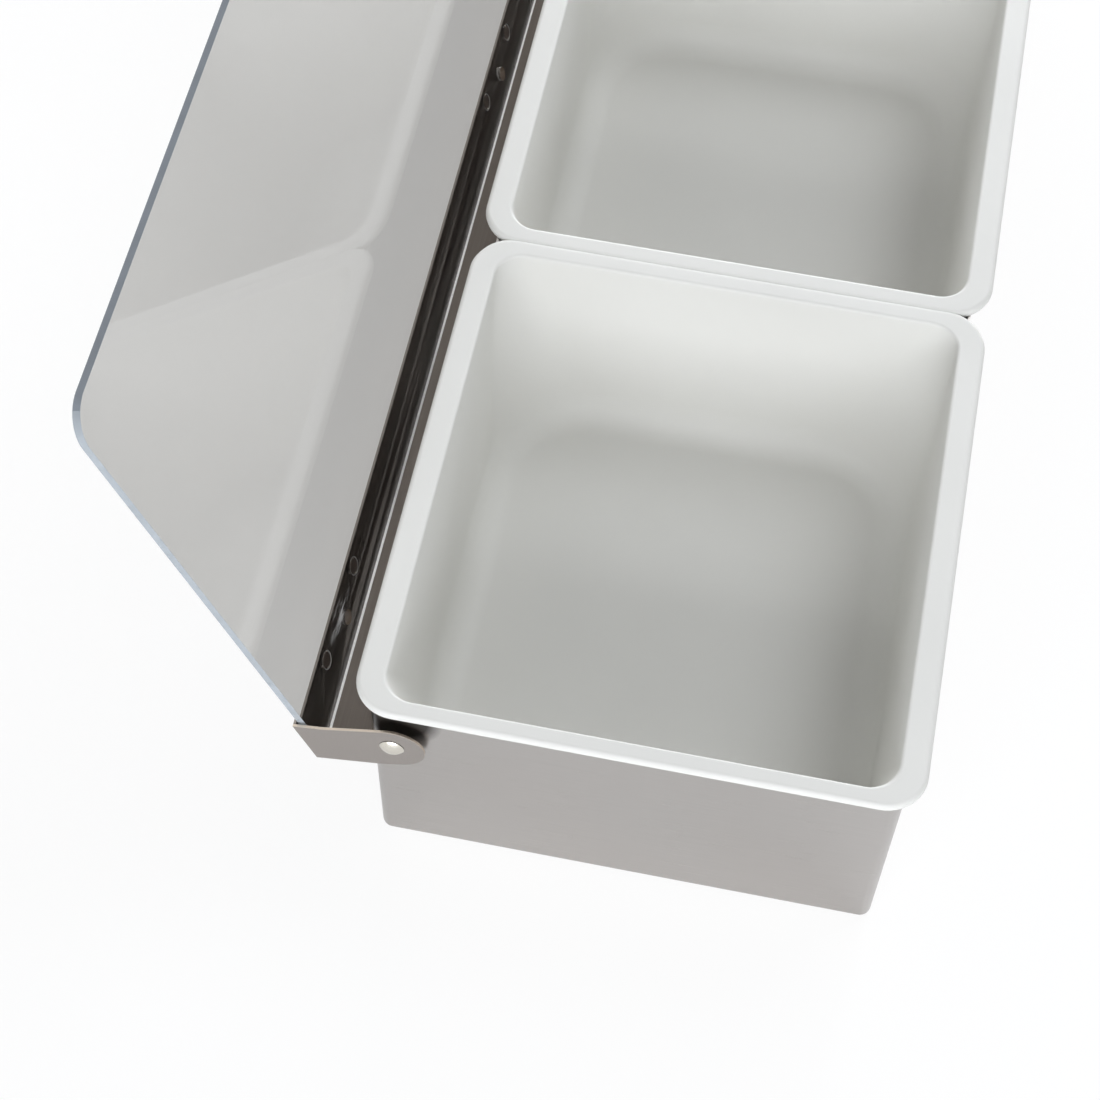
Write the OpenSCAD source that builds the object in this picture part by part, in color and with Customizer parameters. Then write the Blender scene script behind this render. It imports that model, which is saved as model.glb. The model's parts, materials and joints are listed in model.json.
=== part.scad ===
// Condiment caddy: a folded steel tray that carries three lift-out tubs under one flip lid.
// The lid is a clear sheet riveted to a steel bracket, and swings on two rivets in the end walls.
// Millimetres. +Z is up, the front is toward -Y, and the origin is the middle of the tray's base.

/* [Tubs] */
// Distance from one tub to the next, along the tray
tub_pitch = 154.5; // [120:0.5:200]
// Gap between the rims of two neighbouring tubs
tub_gap = 0.4; // [0.3:0.1:2]
// Depth of a tub over its rim, from front to back
tub_span = 145; // [110:1:200]
// Width of the rim along the front and back
rim_side = 7.4; // [6:0.1:12]
// Width of the rim at the two ends
rim_end = 5; // [4.8:0.1:10]
// Thickness of the rim
rim_t = 2; // [1.2:0.1:3]
// Radius of the rim's outer corners
rim_r = 11; // [9:0.5:16]
// How far the rim's top edges are rounded off
rim_round = 0.7; // [0.3:0.1:1]
// Radius of the corners at the tub's mouth
mouth_r = 7.7; // [4:0.1:12]
// Thickness of the tub's walls and floor
tub_wall = 1.2; // [0.8:0.1:2]
// Depth of the tub's inside, from the top of the rim
tub_depth = 64; // [40:1:90]
// Slope of the tub's walls, in degrees
tub_draft = 2.8; // [1:0.1:6]
// Radius of the corners where the walls reach the floor
floor_r = 28; // [12:1:34]
// Radius between wall and floor
floor_fillet = 4; // [2:0.5:8]

/* [Tray] */
// Thickness of the steel sheet of the tray and the lid bracket
steel_t = 0.8; // [0.6:0.1:1.2]
// How far the rims reach past the tray's end walls
end_overhang = 1.3; // [1.3:0.1:2.4]
// Clearance between the tubs and the front and back walls
tub_clear = 0.3; // [0.2:0.1:1]
// Space between the tubs and the tray's floor
floor_gap = 5; // [2:0.5:20]
// Radius of the tray's upright corners
tray_r = 3; // [3:0.5:4]
// Radius of the bend between wall and floor
tray_bend = 2.5; // [1.5:0.5:2.8]

/* [Lid] */
// How far the lid leans back past upright when it rests open, in degrees
lean = 18.9; // [15:0.1:24]
// Distance of the pivot in from the tray's back wall
pivot_inset = 6; // [6:0.1:10]
// Distance of the pivot below the top of the rims
pivot_drop = 15.6; // [12:0.1:24]
// Height of the sheet above the rims at the hinge, lid closed
lid_rise = 5.6; // [4:0.1:9]
// Reach of the sheet in front of the pivot
lid_reach = 137.8; // [136:0.1:150]
// Reach of the sheet behind the pivot
sheet_rear = 5; // [3:0.1:6]
// Thickness of the clear sheet
sheet_t = 2; // [1.5:0.1:4]
// Radius of the sheet's two front corners
sheet_r = 9; // [2:0.5:20]
// Gap between the sheet and each ear
sheet_gap = 0.75; // [0.3:0.05:3]

/* [Bracket] */
// Reach of the bracket's web in front of the pivot
web_front = 10; // [9.5:0.1:16]
// Reach of the bracket's web behind the pivot, to the bend
web_rear = 6.8; // [6.2:0.1:9]
// Bend from the web down into the flange, in degrees
flange_bend = 45; // [40:1:50]
// Inner radius of that bend
flange_r = 1.2; // [0.5:0.1:2]
// Notch between the flange and each ear
flange_notch = 5; // [1.5:0.5:8]
// Gap between the flange and the back wall when the lid rests open
stop_gap = 0.4; // [0.3:0.1:1]
// Radius of the ears' round ends
ear_r = 8.4; // [6:0.1:9]
// Gap between the ears and the rims' ends
ear_clear = 0.3; // [0.3:0.1:1]

/* [Rivets] */
// Radius of the pivot rivet's shank
pivot_r = 2; // [1.5:0.1:3]
// Radial clearance of the ear on the shank
pivot_clear = 0.05; // [0.02:0.01:0.1]
// Radius of the pivot rivet's domed head
head_r = 3.25; // [3:0.05:5]
// Height of the pivot rivet's domed head
head_h = 1.3; // [0.8:0.1:2]
// Radius of the washer between ear and end wall
washer_r = 4.5; // [3.5:0.1:6]
// Play of the ear between washer and rivet head, on each side
play = 0.1; // [0.05:0.05:0.3]
// Distance from the lid's middle to the outer rivet pairs
pair_pitch = 196.6; // [120:0.2:205]
// Distance between the two rivets of a pair
pair_gap = 29.2; // [20:0.2:60]
// Distance of the sheet rivets in front of the pivot
rivet_u = 7.1; // [6.8:0.1:7.2]
// Radius of the sheet rivets
rivet_r = 1.6; // [1:0.1:1.6]
// Radius of the sheet rivets' countersunk heads, flush with the sheet
sink_r = 2.3; // [1.8:0.1:2.6]
// Radius of the sheet rivets' outer heads
rivet_head_r = 2.8; // [2.2:0.1:2.8]
// Height of the sheet rivets' outer heads
rivet_head_h = 0.9; // [0.6:0.1:1.4]
// Radius of the locating hole beside each pair's middle
locate_r = 2.1; // [1:0.1:2.4]
// Distance of the locating holes in front of the pivot
locate_u = 2.8; // [0:0.1:4]
// Offset of each locating hole from its pair's middle
locate_off = 1.3; // [0:0.1:4]

/* [Hidden] */

e = 0.01;                                   // a hair, for thin plates and clean cuts
rim_l = tub_pitch - tub_gap;                // one rim, end to end
row_l = 3 * tub_pitch - tub_gap;            // the three rims together
mouth_l = rim_l - 2 * rim_end;
mouth_w = tub_span - 2 * rim_side;
side_overhang = rim_side - tub_wall - tub_clear - steel_t;
tray_l = row_l - 2 * end_overhang;
tray_w = tub_span - 2 * side_overhang;
tray_h = steel_t + floor_gap + tub_wall + tub_depth - rim_t;
rim_top = tray_h + rim_t;

pivot_y = tray_w / 2 - pivot_inset;
pivot_z = rim_top - pivot_drop;
open_angle = 90 + lean;
sheet_n = pivot_drop + lid_rise;            // sheet's underside above the pivot, lid closed
web_n = sheet_n + sheet_t;                  // web's underside, flat on the sheet
ear_in = row_l / 2 + ear_clear;             // inner face of each ear
ear_out = ear_in + steel_t;
sheet_l = 2 * (ear_in - sheet_gap);
wall_out = tray_l / 2;
wall_in = wall_out - steel_t;
// The flange's edge meets the back wall at the open stop
flange_l = (web_n * cos(lean) - web_rear * sin(lean) - pivot_inset - stop_gap)
           / sin(flange_bend + lean);
// The rivet's tail stays on the flat of the wall, short of its bent corner
tail_r = min(head_r, pivot_inset - tray_r - 0.05);
sink_h = sink_r - rivet_r;                  // depth of a 90 degree countersink
pairs = [-pair_pitch, 0, pair_pitch];
rivet_x = [for (p = pairs) for (s = [-1, 1]) p + s * pair_gap / 2];

// ---- shared shapes ----

// Flat rectangle with round corners
module rounded(l, w, r) {
    square([l - 2 * r, w], center = true);
    square([l, w - 2 * r], center = true);
    for (x = [-1, 1], y = [-1, 1])
        translate([x * (l / 2 - r), y * (w / 2 - r)]) circle(r, $fn = 64);
}

// The same as a thin plate at height z
module plate(l, w, r, z, t = e) {
    translate([0, 0, z]) linear_extrude(t) rounded(l, w, r);
}

// Upright section of a box whose two bottom edges are bent to radius r
module bent_section(w, h, r) {
    translate([-w / 2, r]) square([w, h - r]);
    translate([r - w / 2, 0]) square([w - 2 * r, r]);
    for (s = [-1, 1]) translate([s * (w / 2 - r), r]) circle(r, $fn = 48);
}

// Upright corner of such a box, as a full round post
module corner_post(rv, h, r) {
    rotate_extrude($fn = 64) {
        translate([0, r]) square([rv, h - r]);
        square([rv - r, r]);
        translate([rv - r, r]) intersection() {
            circle(r, $fn = 48);
            translate([0, -r]) square([r, r]);
        }
    }
}

// Box with round upright corners and bent bottom edges
module bent_box(l, w, h, rv, r) {
    for (x = [-1, 1], y = [-1, 1])
        translate([x * (l / 2 - rv), y * (w / 2 - rv), 0]) corner_post(rv, h, r);
    rotate([90, 0, 90]) linear_extrude(l - 2 * rv, center = true) bent_section(w, h, r);
    rotate([90, 0, 0]) linear_extrude(w - 2 * rv, center = true) bent_section(l, h, r);
}

// Round bar along +X from x = a to x = b
module bar_x(a, b, r) {
    translate([a, 0, 0]) rotate([0, 90, 0]) cylinder(h = b - a, r = r, $fn = 48);
}

// Domed rivet head with its flat side on z = 0
module dome(r, h) {
    ball = (r * r + h * h) / (2 * h);
    rotate_extrude($fn = 48) intersection() {
        translate([0, h - ball]) circle(ball, $fn = 96);
        square([r, h]);
    }
}

// Lid parts are drawn closed, with the pivot at the origin, and swung open here
module on_hinge() {
    translate([0, pivot_y, pivot_z]) rotate([-open_angle, 0, 0]) children();
}

// ---- tray ----

// Folded steel box with a rivet hole near the back of each end wall
module tray() {
    color("silver") difference() {
        bent_box(tray_l, tray_w, tray_h, tray_r, tray_bend);
        translate([0, 0, steel_t])
            bent_box(tray_l - 2 * steel_t, tray_w - 2 * steel_t, tray_h,
                     tray_r - steel_t, tray_bend - steel_t);
        for (s = [0, 1]) mirror([s, 0, 0]) translate([0, pivot_y, pivot_z])
            bar_x(wall_in - 1, wall_out + 1, pivot_r);
    }
}

// ---- tubs ----

// Tapering body of a tub, grown by g from its inside: small corners above, wide ones at the floor
module tub_body(g, top) {
    lean_in = 2 * tub_depth * tan(tub_draft);
    fillet_in = 2 * (tub_depth - floor_fillet) * tan(tub_draft);
    fillet = floor_fillet + g;
    hull() {
        plate(mouth_l + 2 * g, mouth_w + 2 * g, mouth_r + g, top);
        plate(mouth_l - fillet_in + 2 * g, mouth_w - fillet_in + 2 * g, floor_r + g,
              rim_top - tub_depth + floor_fillet);
        for (a = [30, 60, 90])
            plate(mouth_l - lean_in + 2 * g - 2 * fillet * (1 - cos(a)),
                  mouth_w - lean_in + 2 * g - 2 * fillet * (1 - cos(a)),
                  floor_r + g - fillet * (1 - cos(a)),
                  rim_top - tub_depth + floor_fillet - fillet * sin(a));
    }
}

// Flat rim with its top edge rounded off
module rim() {
    hull() {
        plate(rim_l, tub_span, rim_r, tray_h, rim_t - rim_round);
        plate(rim_l - 0.6 * rim_round, tub_span - 0.6 * rim_round, rim_r - 0.3 * rim_round,
              rim_top - 0.3 * rim_round);
        plate(rim_l - 2 * rim_round, tub_span - 2 * rim_round, rim_r - rim_round, rim_top - e);
    }
}

module tub() {
    color("whitesmoke") difference() {
        union() {
            rim();
            tub_body(tub_wall, tray_h + rim_t / 2);
        }
        tub_body(0, rim_top);
        // The mouth's edge is eased outward
        hull() {
            plate(mouth_l, mouth_w, mouth_r, rim_top - 1.5 * rim_round);
            plate(mouth_l + 2 * rim_round, mouth_w + 2 * rim_round, mouth_r + rim_round, rim_top);
        }
    }
}

module tub_left()   { translate([-tub_pitch, 0, 0]) tub(); }
module tub_middle() { tub(); }
module tub_right()  { translate([tub_pitch, 0, 0]) tub(); }

// ---- pivots ----

// Rivet on the right: domed head outside the ear, shank through ear and wall, flat tail inside
module pivot_rivet() {
    color("gainsboro") {
        bar_x(wall_in - e, ear_out + play + e, pivot_r);
        translate([ear_out + play, 0, 0]) rotate([0, 90, 0]) dome(head_r, head_h);
        bar_x(wall_in - steel_t, wall_in, tail_r);
    }
}

// Washer that holds the ear off the end wall, clear of the rims
module pivot_washer() {
    color("ivory") difference() {
        bar_x(wall_out, ear_in - play, washer_r);
        bar_x(wall_out - 1, ear_in + 1, pivot_r + pivot_clear);
    }
}

module at_pivot(side) {
    translate([0, pivot_y, pivot_z]) mirror([side < 0 ? 1 : 0, 0, 0]) children();
}

module pivot_rivet_left()   { at_pivot(-1) pivot_rivet(); }
module pivot_rivet_right()  { at_pivot(1) pivot_rivet(); }
module pivot_washer_left()  { at_pivot(-1) pivot_washer(); }
module pivot_washer_right() { at_pivot(1) pivot_washer(); }

// ---- lid ----

// Section of the bracket across the hinge: flat web, rounded bend, sloping flange
module bracket_section() {
    r = flange_r;
    start = web_rear - r * tan(flange_bend / 2);
    centre = [start, web_n - r];
    inner = [for (i = [0:5]) let (a = flange_bend * i / 5) centre + r * [sin(a), cos(a)]];
    outer = [for (i = [5:-1:0]) let (a = flange_bend * i / 5) centre + (r + steel_t) * [sin(a), cos(a)]];
    run = flange_l - r * tan(flange_bend / 2);
    down = run * [cos(flange_bend), -sin(flange_bend)];
    end_in = centre + r * [sin(flange_bend), cos(flange_bend)] + down;
    end_out = centre + (r + steel_t) * [sin(flange_bend), cos(flange_bend)] + down;
    polygon(concat([[-web_front, web_n]], inner, [end_in, end_out], outer,
                   [[-web_front, web_n + steel_t]]));
}

// Outline of an ear, seen along the pivot: round end, sides that slope toward the web
module ear_outline() {
    shift = 0.6;
    translate([shift, 0]) circle(ear_r, $fn = 64);
    polygon([[shift - ear_r, 0], [-web_front + 1.4, 0.7 * web_n], [-web_front, web_n + steel_t],
             [web_rear - 0.4, web_n + steel_t], [shift + ear_r, 0.25 * web_n], [shift + ear_r, 0]]);
}

module lid_bracket() {
    color("silver") on_hinge() difference() {
        union() {
            difference() {
                rotate([90, 0, 90]) linear_extrude(2 * ear_in, center = true) bracket_section();
                for (s = [0, 1]) mirror([s, 0, 0])
                    translate([ear_in - flange_notch, web_rear - flange_r - steel_t, 0])
                        cube([flange_notch + 1, flange_l + 5, web_n + 5]);
            }
            for (s = [0, 1]) mirror([s, 0, 0]) translate([ear_in, 0, 0])
                rotate([90, 0, 90]) linear_extrude(steel_t) ear_outline();
        }
        for (s = [0, 1]) mirror([s, 0, 0]) bar_x(ear_in - 1, ear_out + 1, pivot_r + pivot_clear);
        sheet_holes();
    }
}

// Holes through web and sheet: one for each sheet rivet, one to locate each pair
module sheet_holes() {
    for (x = rivet_x) translate([x, -rivet_u, sheet_n - 1])
        cylinder(h = sheet_t + steel_t + 2, r = rivet_r, $fn = 48);
    for (p = pairs) translate([p + locate_off, -locate_u, sheet_n - 1])
        cylinder(h = sheet_t + steel_t + 2, r = locate_r, $fn = 32);
}

// Clear sheet with round front corners, held under the web
module lid_sheet() {
    color("lightblue", 0.4) on_hinge() difference() {
        translate([0, 0, sheet_n]) linear_extrude(sheet_t) {
            translate([-sheet_l / 2, -lid_reach + sheet_r])
                square([sheet_l, lid_reach + sheet_rear - sheet_r]);
            translate([-sheet_l / 2 + sheet_r, -lid_reach])
                square([sheet_l - 2 * sheet_r, 2 * sheet_r]);
            for (s = [-1, 1])
                translate([s * (sheet_l / 2 - sheet_r), -lid_reach + sheet_r])
                    circle(sheet_r, $fn = 64);
        }
        sheet_holes();
        for (x = rivet_x) translate([x, -rivet_u, sheet_n - e])
            cylinder(h = sink_h + e, r1 = sink_r + e, r2 = rivet_r, $fn = 48);
    }
}

// Rivet number i: countersunk flush into the sheet, with a low domed head on the web
module sheet_rivet(i) {
    color("gainsboro") on_hinge() translate([rivet_x[i - 1], -rivet_u, 0]) {
        translate([0, 0, sheet_n]) cylinder(h = sink_h, r1 = sink_r, r2 = rivet_r, $fn = 48);
        translate([0, 0, sheet_n]) cylinder(h = sheet_t + steel_t, r = rivet_r, $fn = 48);
        translate([0, 0, web_n + steel_t]) dome(rivet_head_r, rivet_head_h);
    }
}

tray();
tub_left();
tub_middle();
tub_right();
pivot_rivet_left();
pivot_rivet_right();
pivot_washer_left();
pivot_washer_right();
lid_bracket();
lid_sheet();
sheet_rivet(1);  // sheet_rivet_1
sheet_rivet(2);  // sheet_rivet_2
sheet_rivet(3);  // sheet_rivet_3
sheet_rivet(4);  // sheet_rivet_4
sheet_rivet(5);  // sheet_rivet_5
sheet_rivet(6);  // sheet_rivet_6
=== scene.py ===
"""Condiment caddy with a flip lid: the visible pieces, their finishes and a plain studio."""

import json
import math

import bmesh
import bpy
from bpy.props import FloatProperty, FloatVectorProperty, PointerProperty
from mathutils import Matrix, Vector


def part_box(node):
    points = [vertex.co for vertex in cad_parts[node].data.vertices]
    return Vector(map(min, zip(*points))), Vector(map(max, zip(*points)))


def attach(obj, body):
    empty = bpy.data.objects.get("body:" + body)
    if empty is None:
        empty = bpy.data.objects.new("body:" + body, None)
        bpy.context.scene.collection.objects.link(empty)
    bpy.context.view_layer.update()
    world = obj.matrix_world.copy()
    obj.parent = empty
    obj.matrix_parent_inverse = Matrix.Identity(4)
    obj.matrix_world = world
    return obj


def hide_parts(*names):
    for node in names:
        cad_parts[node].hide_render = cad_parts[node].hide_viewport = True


bl_info = {
    "name": "Condiment Caddy",
    "version": (1, 0, 0),
    "blender": (4, 5, 0),
    "location": "3D View > Sidebar > Caddy",
    "description": "Builds the tubs, folded steel, clear lid and rivets of a condiment caddy",
    "category": "Object",
}

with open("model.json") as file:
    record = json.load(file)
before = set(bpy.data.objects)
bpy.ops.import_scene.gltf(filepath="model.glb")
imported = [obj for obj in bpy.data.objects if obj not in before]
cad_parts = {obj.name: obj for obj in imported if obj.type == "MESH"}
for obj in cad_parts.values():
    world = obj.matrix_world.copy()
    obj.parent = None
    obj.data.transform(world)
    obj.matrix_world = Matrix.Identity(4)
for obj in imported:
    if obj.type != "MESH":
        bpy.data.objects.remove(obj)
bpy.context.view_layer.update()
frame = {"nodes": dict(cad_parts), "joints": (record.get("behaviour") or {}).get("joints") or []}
HINGE = Vector(frame["joints"][0]["pos_m"])
TRAY_LO, TRAY_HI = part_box("tray")
TUB_LO, TUB_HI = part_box("tub_middle")

MM = 0.001
SAME = 1e-6  # coordinates closer than this count as one
# Small bevels that take the sharpness off each kind of edge
TRAY_DEBURR, BRACKET_DEBURR, SHEET_EASING = 0.15 * MM, 0.12 * MM, 0.2 * MM
RIM_NIP = 0.25 * MM  # at the rim's underside
SINK_CHAMFER = 0.24 * MM  # round each countersink
# Room round each sheet rivet's shank and flush head
SHANK_ROOM, HEAD_ROOM = 0.03 * MM, 0.05 * MM

# Slightly cool, so that the plastic's warmth shows only deep in the tubs
STUDIO_WHITE = "#F7FAFF"
SKY_STRENGTH = 0.17
LAMP_SIDE, LAMP_DISTANCE = 0.8, 1.6
LIT_POINT = Vector((-0.1, 0, 0.06))
FLOOR_HALF = 4.0
LENS, SENSOR = 77.70, 36.0
CAMERA_PLACE = Vector((-0.49295, -0.02575, 0.59734))
CAMERA_RIGHT = Vector((0.19760, -0.98021, 0.01161))
CAMERA_UP = Vector((0.83492, 0.17449, 0.52198))


# ---- colours and nodes ----


def hex_colour(code):
    """sRGB hex, such as "#E6E7E5", as linear red, green, blue and alpha."""
    parts = [int(code[i : i + 2], 16) / 255 for i in (1, 3, 5)]
    linear = [p / 12.92 if p <= 0.04045 else ((p + 0.055) / 1.055) ** 2.4 for p in parts]
    return (*linear, 1.0)


def add_node(tree, kind, inputs=None, **settings):
    """Adds a node, sets its properties, and links or sets each input that is named."""
    made = tree.nodes.new(kind)
    for name, value in settings.items():
        setattr(made, name, value)
    for name, value in (inputs or {}).items():
        socket = made.inputs[name]
        if isinstance(value, bpy.types.NodeSocket):
            tree.links.new(value, socket)
        else:
            socket.default_value = value
    return made


def empty_material(name):
    """A material with no nodes yet, and its tree."""
    material = bpy.data.materials.new(name)
    material.use_nodes = True
    material.node_tree.nodes.clear()
    return material, material.node_tree


# ---- sizes and finishes that a user may change ----


class CaddySizes(bpy.types.PropertyGroup):
    """Lengths and angles of the pieces"""

    rim_thickness: FloatProperty(
        name="Rim thickness", description="Thickness of each tub's flat rim",
        default=2.0 * MM, min=1.0 * MM, max=4.0 * MM, unit="LENGTH", subtype="DISTANCE",
    )
    rim_press: FloatProperty(
        name="Rim press", description="How far a rim is pressed towards the next tub's",
        default=0.8 * MM, min=0.0, max=1.0 * MM, unit="LENGTH", subtype="DISTANCE",
    )
    rim_rounding: FloatProperty(
        name="Rim rounding", description="Radius of the rim's outer top edge",
        default=1.4 * MM, min=0.2 * MM, max=1.6 * MM, unit="LENGTH", subtype="DISTANCE",
    )
    mouth_easing: FloatProperty(
        name="Mouth easing", description="Radius of the rim's inner top edge",
        default=0.9 * MM, min=0.2 * MM, max=1.6 * MM, unit="LENGTH", subtype="DISTANCE",
    )
    rim_corner: FloatProperty(
        name="Rim corner", description="Corner radius of the rim, seen from above",
        default=11.0 * MM, min=5.0 * MM, max=16.0 * MM, unit="LENGTH", subtype="DISTANCE",
    )
    rim_end: FloatProperty(
        name="Rim at the ends", description="Width of the rim along the two end walls",
        default=5.0 * MM, min=4.0 * MM, max=10.0 * MM, unit="LENGTH", subtype="DISTANCE",
    )
    rim_side: FloatProperty(
        name="Rim at the sides", description="Width of the rim along the front and the back",
        default=7.4 * MM, min=6.0 * MM, max=12.0 * MM, unit="LENGTH", subtype="DISTANCE",
    )
    mouth_corner: FloatProperty(
        name="Mouth corner", description="Inside corner radius at the mouth",
        default=7.7 * MM, min=4.0 * MM, max=16.0 * MM, unit="LENGTH", subtype="DISTANCE",
    )
    floor_corner: FloatProperty(
        name="Floor corner", description="Inside corner radius at the floor",
        default=28.0 * MM, min=12.0 * MM, max=34.0 * MM, unit="LENGTH", subtype="DISTANCE",
    )
    floor_fillet: FloatProperty(
        name="Floor fillet", description="Radius where the walls turn into the floor",
        default=9.0 * MM, min=2.0 * MM, max=12.0 * MM, unit="LENGTH", subtype="DISTANCE",
    )
    tub_depth: FloatProperty(
        name="Tub depth", description="From the rim's top to the inside floor",
        default=64.0 * MM, min=40.0 * MM, max=90.0 * MM, unit="LENGTH", subtype="DISTANCE",
    )
    tub_wall: FloatProperty(
        name="Tub wall", description="Thickness of the tub's walls and floor",
        default=1.2 * MM, min=0.8 * MM, max=2.0 * MM, unit="LENGTH", subtype="DISTANCE",
    )
    tub_draft: FloatProperty(
        name="Draft", description="How far the tub's walls lean in",
        default=math.radians(2.8), min=math.radians(1), max=math.radians(6), subtype="ANGLE",
    )
    steel: FloatProperty(
        name="Sheet steel", description="Thickness of the tray and the bracket",
        default=0.8 * MM, min=0.6 * MM, max=1.2 * MM, unit="LENGTH", subtype="DISTANCE",
    )
    tray_corner: FloatProperty(
        name="Tray corner", description="Radius of the tray's upright corners",
        default=3.0 * MM, min=1.5 * MM, max=8.0 * MM, unit="LENGTH", subtype="DISTANCE",
    )
    tray_bend: FloatProperty(
        name="Tray bend", description="Radius where the tray's walls meet its floor",
        default=2.5 * MM, min=1.0 * MM, max=2.8 * MM, unit="LENGTH", subtype="DISTANCE",
    )
    open_angle: FloatProperty(
        name="Open angle", description="How far the lid stands open from closed",
        default=math.radians(108.9), min=0, max=math.radians(115), subtype="ANGLE",
    )
    sheet_rise: FloatProperty(
        name="Sheet above the pivot", description="From the pivot to the closed sheet's underside",
        default=21.2 * MM, min=15.0 * MM, max=30.0 * MM, unit="LENGTH", subtype="DISTANCE",
    )
    sheet_thickness: FloatProperty(
        name="Sheet thickness", description="Thickness of the clear sheet",
        default=2.0 * MM, min=1.5 * MM, max=4.0 * MM, unit="LENGTH", subtype="DISTANCE",
    )
    sheet_reach: FloatProperty(
        name="Sheet reach", description="From the pivot's line to the sheet's front edge",
        default=137.8 * MM, min=120.0 * MM, max=150.0 * MM, unit="LENGTH", subtype="DISTANCE",
    )
    sheet_rear: FloatProperty(
        name="Sheet behind the pivot", description="From the pivot's line to the sheet's rear edge",
        default=5.0 * MM, min=3.0 * MM, max=6.0 * MM, unit="LENGTH", subtype="DISTANCE",
    )
    sheet_corner: FloatProperty(
        name="Sheet corner", description="Radius of the sheet's two front corners",
        default=9.0 * MM, min=2.0 * MM, max=20.0 * MM, unit="LENGTH", subtype="DISTANCE",
    )
    web_front: FloatProperty(
        name="Web in front", description="How far the web runs in front of the pivot's line",
        default=10.0 * MM, min=8.0 * MM, max=16.0 * MM, unit="LENGTH", subtype="DISTANCE",
    )
    web_rear: FloatProperty(
        name="Web behind", description="From the pivot's line back to the flange's bend",
        default=6.8 * MM, min=5.0 * MM, max=9.0 * MM, unit="LENGTH", subtype="DISTANCE",
    )
    flange: FloatProperty(
        name="Flange", description="Length of the flange, from the inner corner of its bend",
        default=14.87 * MM, min=6.0 * MM, max=18.0 * MM, unit="LENGTH", subtype="DISTANCE",
    )
    flange_angle: FloatProperty(
        name="Flange angle", description="Bend from the web into the flange",
        default=math.radians(45), min=math.radians(30), max=math.radians(60), subtype="ANGLE",
    )
    flange_notch: FloatProperty(
        name="Flange notch", description="Gap between the flange and each ear",
        default=5.0 * MM, min=1.5 * MM, max=8.0 * MM, unit="LENGTH", subtype="DISTANCE",
    )
    rivet_row: FloatProperty(
        name="Rivet row", description="From the pivot's line forward to the sheet rivets",
        default=7.1 * MM, min=5.0 * MM, max=9.0 * MM, unit="LENGTH", subtype="DISTANCE",
    )
    sheet_shank: FloatProperty(
        name="Sheet rivet shank", description="Radius of each sheet rivet's shank",
        default=1.6 * MM, min=1.0 * MM, max=2.0 * MM, unit="LENGTH", subtype="DISTANCE",
    )
    countersink: FloatProperty(
        name="Countersink", description="Radius of each sheet rivet's flush head",
        default=2.3 * MM, min=1.7 * MM, max=3.0 * MM, unit="LENGTH", subtype="DISTANCE",
    )
    sheet_dome: FloatProperty(
        name="Sheet rivet dome", description="Radius of each sheet rivet's dome on the web",
        default=2.8 * MM, min=2.0 * MM, max=4.0 * MM, unit="LENGTH", subtype="DISTANCE",
    )
    sheet_dome_height: FloatProperty(
        name="Sheet rivet dome height", description="Height of that dome",
        default=0.9 * MM, min=0.4 * MM, max=1.6 * MM, unit="LENGTH", subtype="DISTANCE",
    )
    locating_hole: FloatProperty(
        name="Locating hole", description="Radius of the hole between each pair of rivets",
        default=2.1 * MM, min=1.0 * MM, max=2.4 * MM, unit="LENGTH", subtype="DISTANCE",
    )
    locating_row: FloatProperty(
        name="Locating row", description="From the pivot's line forward to the locating holes",
        default=2.8 * MM, min=2.0 * MM, max=4.0 * MM, unit="LENGTH", subtype="DISTANCE",
    )
    locating_shift: FloatProperty(
        name="Locating shift", description="From each pair's middle to its locating hole",
        default=1.3 * MM, min=0.0, max=4.0 * MM, unit="LENGTH", subtype="DISTANCE",
    )
    bend: FloatProperty(
        name="Bend radius", description="Inside radius of the bracket's bend",
        default=1.2 * MM, min=0.5 * MM, max=2.0 * MM, unit="LENGTH", subtype="DISTANCE",
    )
    ear_radius: FloatProperty(
        name="Ear radius", description="Radius of each ear's round end",
        default=8.4 * MM, min=6.0 * MM, max=9.0 * MM, unit="LENGTH", subtype="DISTANCE",
    )
    ear_shift: FloatProperty(
        name="Ear shift", description="How far behind the pivot the ear's round end is centred",
        default=0.6 * MM, min=0.0, max=1.5 * MM, unit="LENGTH", subtype="DISTANCE",
    )
    pivot_head: FloatProperty(
        name="Pivot head", description="Radius of each pivot rivet's domed head",
        default=3.25 * MM, min=2.5 * MM, max=5.0 * MM, unit="LENGTH", subtype="DISTANCE",
    )
    pivot_dome: FloatProperty(
        name="Pivot head height", description="Height of that dome",
        default=1.3 * MM, min=0.6 * MM, max=2.0 * MM, unit="LENGTH", subtype="DISTANCE",
    )
    pivot_shank: FloatProperty(
        name="Pivot shank", description="Radius of each pivot rivet's shank",
        default=2.0 * MM, min=1.5 * MM, max=2.5 * MM, unit="LENGTH", subtype="DISTANCE",
    )
    pivot_tail: FloatProperty(
        name="Pivot tail", description="Radius of the flat tail inside the end wall",
        default=2.95 * MM, min=2.5 * MM, max=3.5 * MM, unit="LENGTH", subtype="DISTANCE",
    )
    pivot_tail_height: FloatProperty(
        name="Pivot tail height", description="Thickness of that tail",
        default=0.8 * MM, min=0.5 * MM, max=1.5 * MM, unit="LENGTH", subtype="DISTANCE",
    )


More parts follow.
